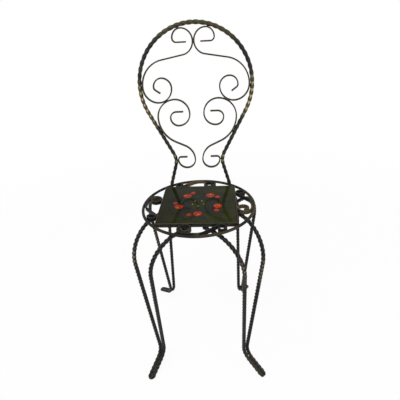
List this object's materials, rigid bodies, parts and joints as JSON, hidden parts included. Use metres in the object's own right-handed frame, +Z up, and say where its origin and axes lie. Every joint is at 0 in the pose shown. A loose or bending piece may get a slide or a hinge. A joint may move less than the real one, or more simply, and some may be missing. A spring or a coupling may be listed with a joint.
{
  "type": "wrought iron chair plant stand",
  "caption": "Small wrought iron chair used as a plant stand: scrolled hoop back, round seat with a square glazed tile in a frame, and splayed legs of twisted bar.",
  "frame": {"origin": "on the floor under the middle of the seat", "axes": "+Z up, +Y towards the back of the chair, +X to the right seen from the front"},
  "size_m": [0.2796, 0.301, 0.7047],
  "materials": {
    "iron": "dark antiqued paint, gold rubbed on the twist and rust brown on the edges",
    "glazed_tile": "glossy opaque ceramic glaze"
  },
  "bodies": {
    "ironwork": {"seat_ring": "iron", "front_frame_side": "iron", "right_frame_side": "iron", "rear_frame_side": "iron", "left_frame_side": "iron", "front_seat_scroll": "iron", "right_seat_scroll": "iron", "rear_seat_scroll": "iron", "left_seat_scroll": "iron", "back_hoop": "iron", "upper_left_scroll": "iron", "upper_right_scroll": "iron", "lower_left_scroll": "iron", "lower_right_scroll": "iron", "front_left_leg": "iron", "front_right_leg": "iron", "rear_left_leg": "iron", "rear_right_leg": "iron"},
    "tile": {"tile": "glazed_tile"}
  },
  "joints": [
    {"name": "tile_lift", "type": "slide", "parent": "ironwork", "child": "tile", "axis": [0, 0, 1], "range_m": [0, 0.08]}
  ]
}
